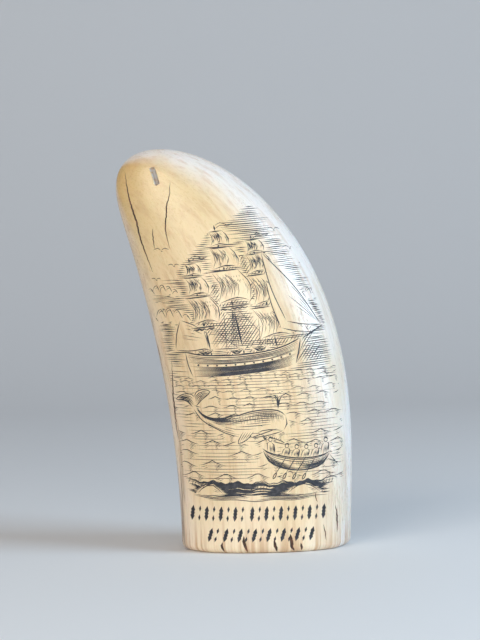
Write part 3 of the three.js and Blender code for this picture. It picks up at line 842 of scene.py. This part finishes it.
@dataclass(frozen=True)
class Ageing:
    """The tooth's age cracks, the short ones that rise from its root's edge, and the gouge by its tip."""

    cracks: tuple = (
        (
            0.55,
            (
                (-43, 124), (-42.6, 120), (-41.5, 114), (-39.4, 107),
                (-38.2, 101.5), (-36.2, 95.5), (-34.4, 90.5),
            ),
        ),
        (
            0.42,
            (
                (-28.2, 119.6), (-28.6, 114.8), (-29.5, 112), (-29.6, 108.8),
                (-30, 105.6), (-29.5, 101.4), (-28.7, 98),
            ),
        ),
        (0.34, ((-34.2, 104.8), (-34.0, 101), (-33.6, 98))),
        (0.32, ((16.4, 19.6), (16.2, 17.4), (16.8, 15.8))),
        (0.32, ((18.6, 8.8), (19, 5.8), (19.4, 3.2))),
        (0.5, ((22.6, 14.6), (23.0, 10.2), (22.8, 5.4))),
        (0.34, ((-29.2, 62), (-28.9, 52), (-28.0, 41), (-27.4, 36))),
        (0.8, ((-13.6, 0.5), (-14.2, 2.4), (-13.9, 3.8))),
        (1.0, ((-6.0, 0.4), (-6.6, 2.2), (-7.2, 4.4), (-7.0, 6.0))),
        (1.0, ((3.6, 0.4), (2.9, 2.4), (2.6, 4.6))),
        (1.1, ((9.2, 0.6), (8.2, 2.2), (8.0, 4.8), (7.8, 6.2))),
        (0.7, ((11.6, 0.6), (11.2, 2.4), (11.0, 3.2))),
    )
    gouge_middle: tuple[float, float] = (-33.2, 121.4)
    gouge_length: float = 6.2
    gouge_width: float = 1.7
    gouge_lean_deg: float = 18.0

    def engrave(self, hand: Engraver) -> None:
        """Marks the cracks."""
        hand.keep_to(0.985)
        for width, points in self.cracks:
            path = smooth(points)
            wander = np.array([[hand.chance.uniform(-0.12, 0.12), 0] for _ in path])
            hand.cut(path + wander, width, taper=0.4, tool=Tool.AGE)

    def gouge(self) -> tuple[Path, Path]:
        """Gives the gouge's outline at the surface and the smaller one of its floor."""
        outlines = []
        for inset in (0.0, 0.32):
            wide, long = self.gouge_width / 2 - inset, self.gouge_length / 2 - inset
            corners = [(-1, -0.92), (-0.4, -1), (1, -0.9), (1, 0.9), (0, 1), (-1, 0.94)]
            corners = [(u * wide, v * long) for u, v in corners]
            outlines.append(Placing(*self.gouge_middle, 1.0, self.gouge_lean_deg)(corners))
        return outlines[0], outlines[1]


def engrave_all(form: ToothForm) -> tuple[Engraver, Ageing]:
    """Cuts the picture, the rows of strokes and the marks of age, the nearest things first."""
    hand = Engraver(form)
    ageing = Ageing()
    StrokeRows().engrave(hand)
    sea = Sea()
    sea.band(hand)
    Whaleboat().engrave(hand)
    Whale().engrave(hand)
    Ship().engrave(hand)
    sea.engrave(hand)
    Sky().engrave(hand)
    hand.screens.clear()
    ageing.engrave(hand)
    log.info("engraved %d strokes", len(hand.strokes))
    return hand, ageing


# ---------------------------------------------------------------- the skin


@dataclass(frozen=True)
class PulpHollow:
    """The natural hollow that opens in the sawn root: an oval funnel that follows the tooth's lean."""

    half_width: float = 14.0
    half_depth: float = 8.5
    height: float = 46.0
    rings: int = 12
    fullness: float = 0.8
    lean_run: float = 160.0  # millimetres of height over which the spine's whole curve is read

    def point(self, form: ToothForm, share: float, angle: float) -> tuple[float, float, float]:
        """Gives a point of the wall at a share of the height and an angle round it."""
        size, z = (1 - share) ** self.fullness, share * self.height
        lean = float(form.curve(form.spine_x, np.array(z / self.lean_run)))
        return lean + self.half_width * size * math.cos(angle), self.half_depth * size * math.sin(angle), z


@dataclass
class Skin:
    """Builds the tooth as one closed mesh, its surface cut open along every stroke and sunk there."""

    form: ToothForm
    hand: Engraver
    ageing: Ageing
    hollow: PulpHollow = PulpHollow()
    columns: int = 108
    rows: int = 104
    edge_rows: int = 5
    graver_slope: float = 0.5
    crack_slope: float = 1.2
    gouge_depth: float = 0.7
    places: list[tuple[float, float]] = field(default_factory=list)
    links: list[tuple[int, int]] = field(default_factory=list)
    areas: list[list[int]] = field(default_factory=list)
    waiting: list[Path] = field(default_factory=list)
    taken: int = 0
    area_tools: list[tuple[Tool, bool]] = field(default_factory=list)

    def lay_grid(self) -> None:
        """Lays the even net of points that the plain skin is made of."""
        form = self.form
        edge = np.linspace(-form.edge_length, 0, self.edge_rows + 1)[:-1]
        share = np.arange(self.rows + 1) / self.rows
        rises = np.concatenate([edge, form.length * (1 - (1 - share) ** 1.5)])
        for rise in rises:
            for column in range(self.columns + 1):
                self.places.append((form.girth * column / self.columns, float(rise)))
        wide, high = self.columns + 1, len(rises)
        for j in range(high - 1):
            for column in (0, self.columns):
                self.links.append((j * wide + column, (j + 1) * wide + column))
        for i in range(self.columns):
            for row in (0, high - 1):
                self.links.append((row * wide + i, row * wide + i + 1))

    def put(self, path: Path) -> list[int]:
        """Takes in front-face points and gives the numbers that they will have in the net."""
        first = len(self.places) + self.taken
        self.taken += len(path)
        self.waiting.append(path)
        return list(range(first, first + len(path)))

    def lay_strokes(self) -> None:
        """Adds each stroke's outline and middle line to the net."""
        for stroke in self.hand.strokes:
            run = np.gradient(stroke.path, axis=0)
            run /= np.maximum(np.linalg.norm(run, axis=1, keepdims=True), 1e-9)
            aside = np.stack([-run[:, 1], run[:, 0]], axis=1) * stroke.half_widths()[:, None]
            middle = self.put(stroke.path)
            left = self.put((stroke.path + aside)[1:-1])
            right = self.put((stroke.path - aside)[1:-1])
            # The net's first axis runs from right to left as seen, so this order is anticlockwise on it.
            self.areas.append([middle[0], *left, middle[-1], *right[::-1]])
            self.area_tools.append((stroke.tool, False))
            self.links.extend(zip(middle[:-1], middle[1:]))
        for floor, outline in enumerate(self.ageing.gouge()):
            self.areas.append(self.put(outline)[::-1])
            self.area_tools.append((Tool.GOUGE, bool(floor)))
        turn, rise, _ = self.form.locate(np.vstack(self.waiting))
        self.places.extend(zip((turn * self.form.girth).tolist(), rise.tolist()))

    def depths(self, spots: np.ndarray) -> np.ndarray:
        """Gives how deep the cuts are at some points, seen from the front."""
        samples = []
        for stroke in self.hand.strokes:
            slope = self.graver_slope if stroke.tool is Tool.GRAVER else self.crack_slope
            count = max(int(len(stroke.path) * 12), 8)
            share = np.linspace(0, len(stroke.path) - 1, count)
            at = np.arange(len(stroke.path))
            half = np.interp(share, at, stroke.half_widths())
            x, z = np.interp(share, at, stroke.path[:, 0]), np.interp(share, at, stroke.path[:, 1])
            samples.append(np.stack([x, z, half, np.full(count, slope)], axis=1))
        samples = np.vstack(samples)
        tree = KDTree(len(samples))
        for i, (x, z, _, _) in enumerate(samples):
            tree.insert((x, z, 0), i)
        tree.balance()
        result = np.zeros(len(spots))
        for i, (x, z) in enumerate(spots):
            near = tree.find_n((x, z, 0), 6)
            result[i] = max(max((samples[n, 2] - away) * samples[n, 3], 0) for _, n, away in near)
        return result

    def build(self, name: str, finishes: list[bpy.types.Material]) -> bpy.types.Object:
        """Makes the object.

        Args:
            name: The object's name.
            finishes: The materials, in the order of Tool.

        Returns:
            The tooth, linked to the scene, at the origin with its place in its mesh.
        """
        self.lay_grid()
        self.lay_strokes()
        net = delaunay_2d_cdt([Vector(p) for p in self.places], self.links, self.areas, 0, 1e-4, True)
        places = np.array([(p[0], p[1]) for p in net[0]])
        faces = net[2]
        tools = []
        floors = set()
        for face, areas in zip(faces, net[5]):
            kinds = [self.area_tools[a] for a in areas]
            tool = max((kind for kind, _ in kinds), key=lambda kind: kind.value, default=Tool.POLISH)
            tools.append(tool)
            if any(floor for _, floor in kinds):
                floors.update(face)
        log.info("net of %d points and %d faces", len(places), len(faces))

        turn = np.clip(places[:, 0] / self.form.girth, 0, 1)
        rise = np.clip(places[:, 1], -self.form.edge_length, self.form.length)
        spots = self.form.points(turn, rise)
        sunk = np.ones(len(places), bool)
        for face, tool in zip(faces, tools):
            if tool is Tool.POLISH:
                sunk[list(face)] = False
        index = np.flatnonzero(sunk)
        depth = np.zeros(len(places))
        depth[index] = self.depths(spots[index][:, [0, 2]])
        for vertex in floors:
            depth[vertex] = self.gouge_depth
        out = self.form.outward(turn, rise)
        spots = spots - out * depth[:, None]

        bm = bmesh.new()
        layers = bm.verts.layers
        turn_layer, rise_layer = layers.float.new("turn"), layers.float.new("rise")
        side_layer, share_layer = layers.float.new("side"), layers.float.new("share")
        grain_layer = layers.float_vector.new("grain")
        angle, share = np.pi / 2 - 2 * np.pi * turn, self.form.share(rise)
        _, _, _, _, half_width, half_depth = self.form.section(share)
        verts = []
        for i, spot in enumerate(spots.tolist()):
            vert = bm.verts.new(spot)
            vert[turn_layer], vert[rise_layer] = turn[i], rise[i]
            vert[side_layer], vert[share_layer] = math.cos(angle[i]), share[i]
            vert[grain_layer] = (
                math.cos(angle[i]) * half_width[i],
                math.sin(angle[i]) * half_depth[i],
                share[i] * self.form.length,
            )
            verts.append(vert)
        for face, tool in zip(faces, tools):
            made = bm.faces.new([verts[i] for i in reversed(face)])
            made.smooth = True
            made.material_index = tool.value
        tip, seam = self.form.length - 1e-3, 1e-5
        rim = [v for v in verts if v[rise_layer] > tip or not seam < v[turn_layer] < 1 - seam]
        bmesh.ops.remove_doubles(bm, verts=rim, dist=1e-4)
        self.add_root(bm, turn_layer, grain_layer)
        self.unwrap(bm, turn_layer, rise_layer)
        for edge in bm.edges:
            kinds = {f.material_index for f in edge.link_faces}
            edge.smooth = len(kinds) < 2
        self.fit_to_cad(bm)
        mesh = bpy.data.meshes.new(name)
        bm.to_mesh(mesh)
        bm.free()
        for finish in finishes:
            mesh.materials.append(finish)
        tooth = bpy.data.objects.new(name, mesh)
        bpy.context.scene.collection.objects.link(tooth)
        log.info("%s: %d faces", name, len(mesh.polygons))
        return tooth

    def add_root(self, bm: bmesh.types.BMesh, turn_layer: object, grain_layer: object) -> None:
        """Closes the root with its sawn ring, in two steps across, and the pulp hollow."""
        hollow = self.hollow
        loop = [e for e in bm.edges if e.is_boundary]
        for share in [None, *(i / hollow.rings for i in range(hollow.rings))]:
            made = bmesh.ops.extrude_edge_only(bm, edges=loop)["geom"]
            fresh = [v for v in made if isinstance(v, bmesh.types.BMVert)]
            loop = [e for e in made if isinstance(e, bmesh.types.BMEdge) and e.is_boundary]
            for vert in fresh:
                angle = math.pi / 2 - 2 * math.pi * vert[turn_layer]
                x, y, z = hollow.point(self.form, share or 0.0, angle)
                if share is None:  # half-way across the sawn face
                    x, y = (vert.co.x + x) / 2, (vert.co.y + y) / 2
                vert.co = vert[grain_layer] = (x, y, z)
            for face in {f for v in fresh for f in v.link_faces}:
                face.material_index = Tool.SAW.value
                face.smooth = share is not None and share > 0
        ends = list({v for e in loop for v in e.verts})
        bmesh.ops.pointmerge(bm, verts=ends, merge_co=hollow.point(self.form, 1.0, 0.0))

    def unwrap(self, bm: bmesh.types.BMesh, turn_layer: object, rise_layer: object) -> None:
        """Lays the skin out flat, the front widest, with the sawn ring and the hollow beside it."""
        uv = bm.loops.layers.uv.new("OFBake")
        turns, charts = (0.0, 0.25, 0.75, 1.0), (0.006, 0.13, 0.73, 0.855)
        root_u, ring_v, hollow_v, root_scale = 0.932, 0.12, 0.32, 0.0033
        for face in bm.faces:
            if face.material_index == Tool.SAW.value:
                inside = any(loop.vert.co.z > 1e-6 for loop in face.loops)
                for loop in face.loops:
                    x, y, _ = loop.vert.co
                    loop[uv].uv = (root_u + root_scale * y, (hollow_v if inside else ring_v) + root_scale * x)
                continue
            values = [loop.vert[turn_layer] for loop in face.loops]
            if max(values) - min(values) > 0.5:
                values = [v + 1 if v < 0.5 else v for v in values]
            for loop, value in zip(face.loops, values):
                rise = loop.vert[rise_layer]
                if rise > self.form.length - 1e-3:
                    others = [v for l, v in zip(face.loops, values) if l.vert != loop.vert]
                    value = sum(others) / len(others)
                height = (rise + self.form.edge_length) / (self.form.length + self.form.edge_length)
                loop[uv].uv = (float(np.interp(value, turns, charts)), 0.006 + 0.988 * height)

    def fit_to_cad(self, bm: bmesh.types.BMesh) -> None:
        """Sizes and moves the tooth to the solid's box, in metres."""
        spots = np.array([v.co for v in bm.verts])
        low, high = spots.min(axis=0), spots.max(axis=0)
        size = (CAD_HIGH.z - CAD_LOW.z) / (high[2] - low[2])
        middle = (CAD_LOW + CAD_HIGH) / 2
        bmesh.ops.scale(bm, vec=(size, size, size), verts=bm.verts)
        centre = size * (low + high) / 2
        move = (middle.x - centre[0], middle.y - centre[1], CAD_LOW.z - size * low[2])
        bmesh.ops.translate(bm, vec=move, verts=bm.verts)


# ---------------------------------------------------------------- finishes


class Recipe:
    """Builds one material's nodes."""

    def __init__(self, name: str) -> None:
        self.material = bpy.data.materials.new(name)
        self.material.use_nodes = True
        self.tree = self.material.node_tree
        self.tree.nodes.clear()
        self.output = self.tree.nodes.new("ShaderNodeOutputMaterial")
        self.shader = self.tree.nodes.new("ShaderNodeBsdfPrincipled")
        self.tree.links.new(self.shader.outputs["BSDF"], self.output.inputs["Surface"])

    def node(self, kind: str, inputs: dict | None = None, **settings: object) -> bpy.types.Node:
        """Adds a node, with its settings and its inputs as values or sockets."""
        node = self.tree.nodes.new(f"ShaderNode{kind}")
        for key, value in settings.items():
            setattr(node, key, value)
        for key, value in (inputs or {}).items():
            if isinstance(value, bpy.types.NodeSocket):
                self.tree.links.new(value, node.inputs[key])
            else:
                node.inputs[key].default_value = value
        return node

    def math(self, operation: str, a: object, b: object = 0.0) -> bpy.types.NodeSocket:
        """Works out one sum."""
        return self.node("Math", {0: a, 1: b}, operation=operation).outputs[0]

    def times(self, a: object, b: object) -> bpy.types.NodeSocket:
        """Multiplies two values."""
        return self.math("MULTIPLY", a, b)

    def attribute(self, name: str, vector: bool = False) -> bpy.types.NodeSocket:
        """Reads one of the mesh's attributes."""
        node = self.node("Attribute", attribute_name=name)
        return node.outputs["Vector" if vector else "Fac"]

    def stretched(self, vector: bpy.types.NodeSocket, x: float, y: float, z: float) -> bpy.types.NodeSocket:
        """Scales a vector along each axis."""
        return self.node("VectorMath", {0: vector, 1: (x, y, z)}, operation="MULTIPLY").outputs[0]

    def noise(self, vector: bpy.types.NodeSocket, scale: float, detail: float = 3.0) -> bpy.types.NodeSocket:
        """Gives a noise value, 0 to 1."""
        return self.node("TexNoise", {"Vector": vector, "Scale": scale, "Detail": detail}).outputs["Fac"]

    def ranged(
        self, value: object, low: float, high: float, to_low: float = 0.0, to_high: float = 1.0
    ) -> bpy.types.NodeSocket:
        """Maps a value smoothly from one range to another, and holds it there."""
        inputs = {"Value": value, "From Min": low, "From Max": high, "To Min": to_low, "To Max": to_high}
        return self.node("MapRange", inputs, interpolation_type="SMOOTHSTEP").outputs["Result"]

    def ramp(self, value: object, stops: list[tuple[float, Colour]]) -> bpy.types.NodeSocket:
        """Maps a value to colours."""
        node = self.node("ValToRGB", {"Fac": value})
        elements = node.color_ramp.elements
        while len(elements) < len(stops):
            elements.new(0.5)
        for element, (at, colour) in zip(elements, stops):
            element.position, element.color = at, (*colour, 1)
        return node.outputs["Color"]

    def mix(self, share: object, a: object, b: object, blend: str = "MIX") -> bpy.types.NodeSocket:
        """Mixes two colours."""
        node = self.node("Mix", data_type="RGBA", blend_type=blend)
        for socket, value in ((node.inputs[0], share), (node.inputs[6], a), (node.inputs[7], b)):
            if isinstance(value, bpy.types.NodeSocket):
                self.tree.links.new(value, socket)
            else:
                socket.default_value = value if isinstance(value, float) else (*value, 1)
        return node.outputs[2]

    def finish(
        self, colour: object, roughness: object, bump: object = None, height: float = 0.0, **constants: float
    ) -> bpy.types.Material:
        """Joins the colour, roughness and bump to the shader and sets its constant values.

        Args:
            colour: A colour or its socket.
            roughness: A value or its socket.
            bump: The socket of the bump's height, if any.
            height: The bump's height in metres.
            constants: Other shader inputs by name, with _ for a space.

        Returns:
            The finished material.
        """
        for key, value in (("Base Color", colour), ("Roughness", roughness)):
            if isinstance(value, bpy.types.NodeSocket):
                self.tree.links.new(value, self.shader.inputs[key])
            else:
                self.shader.inputs[key].default_value = (*value, 1) if isinstance(value, tuple) else value
        if bump is not None:
            node = self.node("Bump", {"Height": bump, "Strength": 1.0, "Distance": height})
            self.tree.links.new(node.outputs["Normal"], self.shader.inputs["Normal"])
        for key, value in constants.items():
            self.shader.inputs[key.replace("_", " ")].default_value = value
        return self.material


@dataclass(frozen=True)
class Ivory:
    """Polished whale ivory with lengthwise grain: amber at the tip, cream, and pinkish white at the sides,
    with painted window light whitening the right flank.
    """

    root: Colour = (0.93, 0.77, 0.55)
    body: Colour = (0.80, 0.62, 0.38)
    shoulder: Colour = (0.73, 0.55, 0.29)
    tip: Colour = (0.62, 0.40, 0.14)
    flank: Colour = (0.87, 0.72, 0.60)
    painted_window_light: Colour = (0.83, 0.78, 0.75)
    stain: Colour = (0.55, 0.33, 0.17)
    cement: Colour = (0.20, 0.11, 0.06)
    roughness: float = 0.3

    def material(self) -> bpy.types.Material:
        """Makes the material."""
        r = Recipe("ivory")
        grain = r.attribute("grain", vector=True)
        share, side = r.attribute("share"), r.attribute("side")
        ends = [(0.0, self.root), (0.18, self.body), (0.68, self.body)]
        tones = [*ends, (0.86, self.shoulder), (1.0, self.tip)]
        colour = r.ramp(share, tones)
        flank = r.ranged(r.math("ABSOLUTE", side), 0.72, 1.0)
        colour = r.mix(r.times(flank, 0.75), colour, self.flank)
        # Painted light: the right flank is mixed towards near-white, as if lit by the window lamp on that
        # side.
        colour = r.mix(r.times(r.ranged(side, 0.3, 0.85), 0.85), colour, self.painted_window_light)
        cloud = r.noise(r.stretched(grain, 1, 1, 0.5), 0.07, 2)
        colour = r.mix(r.ranged(cloud, 0.42, 0.68, 0.0, 0.45), colour, self.shoulder)
        streaks = r.noise(r.stretched(grain, 1, 1, 0.03), 0.55, 4)
        colour = r.mix(r.ranged(streaks, 0.45, 0.72, 0.0, 0.4), colour, self.stain)
        hairs = r.noise(r.stretched(grain, 1, 1, 0.022), 1.9, 3)
        line = r.ranged(r.math("ABSOLUTE", r.math("SUBTRACT", hairs, 0.5)), 0.0, 0.014, 1.0, 0.0)
        where = r.ranged(r.noise(r.stretched(grain, 1, 1, 0.25), 0.11, 1), 0.44, 0.66)
        edges = r.ranged(r.math("ABSOLUTE", side), 0.4, 0.8, 0.4, 1.0)
        lines = r.times(r.times(line, where), edges)
        colour = r.mix(r.times(lines, 0.85), colour, self.stain)
        bark = r.noise(r.stretched(grain, 1, 1, 0.04), 0.5, 3)
        left = r.ranged(side, -0.86, -0.97, 0.0, 1.0)
        patch = r.times(r.ranged(bark, 0.52, 0.6), left)
        patch = r.times(patch, r.ranged(share, 0.66, 0.5))
        colour = r.mix(r.times(patch, 0.8), colour, self.cement)
        low = r.times(r.ranged(share, 0.07, 0.0), r.ranged(streaks, 0.42, 0.62))
        colour = r.mix(r.times(low, 0.7), colour, self.stain)
        scuffs = r.noise(r.stretched(grain, 1, 1, 0.12), 2.6, 4)
        roughness = r.ranged(scuffs, 0.3, 0.75, self.roughness - 0.06, self.roughness + 0.14)
        waves = r.noise(r.stretched(grain, 1, 1, 0.06), 0.35, 2)
        relief = r.math("ADD", waves, r.times(scuffs, 0.18))
        relief = r.math("SUBTRACT", relief, r.times(lines, 0.35))
        return r.finish(
            colour, roughness, relief, 0.00022,
            IOR=1.54, Coat_Weight=0.5, Coat_Roughness=0.2, Subsurface_Weight=0.12, Subsurface_Scale=0.003,
        )


@dataclass(frozen=True)
class SawnRoot:
    """The sawn face and the hollow: rougher, darker ivory with the saw's marks."""

    pale: Colour = (0.72, 0.55, 0.34)
    dark: Colour = (0.42, 0.26, 0.13)

    def material(self) -> bpy.types.Material:
        """Makes the material."""
        r = Recipe("sawn_root")
        grain = r.attribute("grain", vector=True)
        marks = r.noise(r.stretched(grain, 0.12, 1, 1), 1.2, 4)
        cloud = r.noise(grain, 0.16, 3)
        colour = r.mix(r.ranged(cloud, 0.4, 0.7), self.pale, self.dark)
        return r.finish(colour, 0.62, marks, 0.0003)


@dataclass(frozen=True)
class Plain:
    """One plain finish, a little uneven in tone."""

    name: str
    colour: Colour
    worn: Colour
    roughness: float

    def material(self) -> bpy.types.Material:
        """Makes the material."""
        r = Recipe(self.name)
        patches = r.noise(r.attribute("grain", vector=True), 0.9, 3)
        colour = r.mix(r.ranged(patches, 0.42, 0.72), self.colour, self.worn)
        return r.finish(colour, self.roughness)


def finishes() -> list[bpy.types.Material]:
    """Makes the tooth's materials in the order of Tool."""
    return [
        Ivory().material(),
        SawnRoot().material(),
        Plain("engraved_ink", (0.018, 0.02, 0.028), (0.05, 0.05, 0.06), 0.5).material(),
        Plain("age_crack", (0.06, 0.035, 0.025), (0.17, 0.08, 0.05), 0.7).material(),
        Plain("gouge_floor", (0.42, 0.40, 0.38), (0.40, 0.26, 0.15), 0.6).material(),
    ]


# ---------------------------------------------------------------- the studio


@dataclass(frozen=True)
class Lamp:
    """A soft rectangular light, aimed at the tooth's middle."""

    name: str
    place: tuple[float, float, float]
    width: float
    height: float
    watts: float
    colour: Colour = (1, 1, 1)

    def hang(self, aim: Vector) -> None:
        """Adds the light to the scene."""
        data = bpy.data.lights.new(self.name, "AREA")
        data.shape, data.size, data.size_y = "RECTANGLE", self.width, self.height
        data.energy, data.color = self.watts, self.colour
        lamp = bpy.data.objects.new(self.name, data)
        lamp.location = self.place
        lamp.rotation_mode = "QUATERNION"
        lamp.rotation_quaternion = (aim - Vector(self.place)).to_track_quat("-Z", "Y")
        bpy.context.scene.collection.objects.link(lamp)


@dataclass(frozen=True)
class Viewpoint:
    """The camera, set off from the point it looks at."""

    aim: tuple[float, float, float] = (0.0019, 0.0, 0.074)
    distance: float = 0.8
    elevation_deg: float = 3.1
    azimuth_deg: float = 0.0
    roll_deg: float = -1.3
    lens: float = 138.0

    def set_up(self) -> None:
        """Adds the camera and makes it the scene's."""
        data = bpy.data.cameras.new("camera")
        data.lens, data.clip_start, data.clip_end = self.lens, 0.01, 20
        camera = bpy.data.objects.new("camera", data)
        a, e = math.radians(self.azimuth_deg), math.radians(self.elevation_deg)
        back = Vector((math.sin(a) * math.cos(e), -math.cos(a) * math.cos(e), math.sin(e)))
        roll = Matrix.Rotation(math.radians(self.roll_deg), 4, "Z")
        turn = (-back).to_track_quat("-Z", "Y").to_matrix().to_4x4() @ roll
        camera.matrix_world = Matrix.Translation(Vector(self.aim) + back * self.distance) @ turn
        bpy.context.scene.collection.objects.link(camera)
        bpy.context.scene.camera = camera


@dataclass(frozen=True)
class Studio:
    """A pale sweep of paper under soft light."""

    paper: Colour = (0.78, 0.78, 0.79)
    lamps: tuple[Lamp, ...] = (
        Lamp("key", (-0.45, -0.75, 0.62), 0.5, 0.5, 3.4, (1.0, 0.94, 0.84)),
        Lamp("window", (0.7, -0.3, 0.4), 0.4, 0.6, 6.0, (0.58, 0.80, 1.0)),
        Lamp("fill", (0.0, -1.0, 0.12), 0.7, 0.4, 4.3, (1.0, 0.96, 0.90)),
    )

    def set_up(self) -> None:
        """Adds the sweep, the lights and the pale surroundings."""
        profile = [(-2.0, 0.0), (0.5, 0.0)]
        for i in range(1, 13):
            angle = math.pi / 2 * i / 12
            profile.append((0.5 + 0.5 * math.sin(angle), 0.5 - 0.5 * math.cos(angle)))
        profile.append((1.0, 3.0))
        bm = bmesh.new()
        row = [bm.verts.new((-3.0, y, z)) for y, z in profile]
        edges = [bm.edges.new(pair) for pair in zip(row[:-1], row[1:])]
        made = bmesh.ops.extrude_edge_only(bm, edges=edges)["geom"]
        bmesh.ops.translate(bm, vec=(6.0, 0, 0), verts=[v for v in made if isinstance(v, bmesh.types.BMVert)])
        bmesh.ops.recalc_face_normals(bm, faces=bm.faces)
        for face in bm.faces:
            face.smooth = True
        mesh = bpy.data.meshes.new("paper_sweep")
        bm.to_mesh(mesh)
        bm.free()
        r = Recipe("paper")
        mesh.materials.append(r.finish(self.paper, 0.8))
        sweep = bpy.data.objects.new("paper_sweep", mesh)
        bpy.context.scene.collection.objects.link(sweep)
        for lamp in self.lamps:
            lamp.hang(Vector((0, 0, 0.07)))
        world = bpy.data.worlds.new("room")
        world.use_nodes = True
        background = world.node_tree.nodes["Background"]
        background.inputs["Color"].default_value = (0.95, 0.96, 1.0, 1)
        background.inputs["Strength"].default_value = 0.28
        bpy.context.scene.world = world
        bpy.context.scene.view_settings.view_transform = "Standard"


def main() -> None:
    """Builds the tooth, its finishes, the studio and the camera."""
    logging.basicConfig(level=logging.INFO, format="%(relativeCreated)6d ms %(name)s: %(message)s")
    form = ToothForm()
    hand, ageing = engrave_all(form)
    tooth = Skin(form, hand, ageing).build("tooth_scrimshaw", finishes())
    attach(tooth, "root")
    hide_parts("tooth")
    Studio().set_up()
    Viewpoint().set_up()
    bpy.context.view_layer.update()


if __name__ == "__main__":
    main()
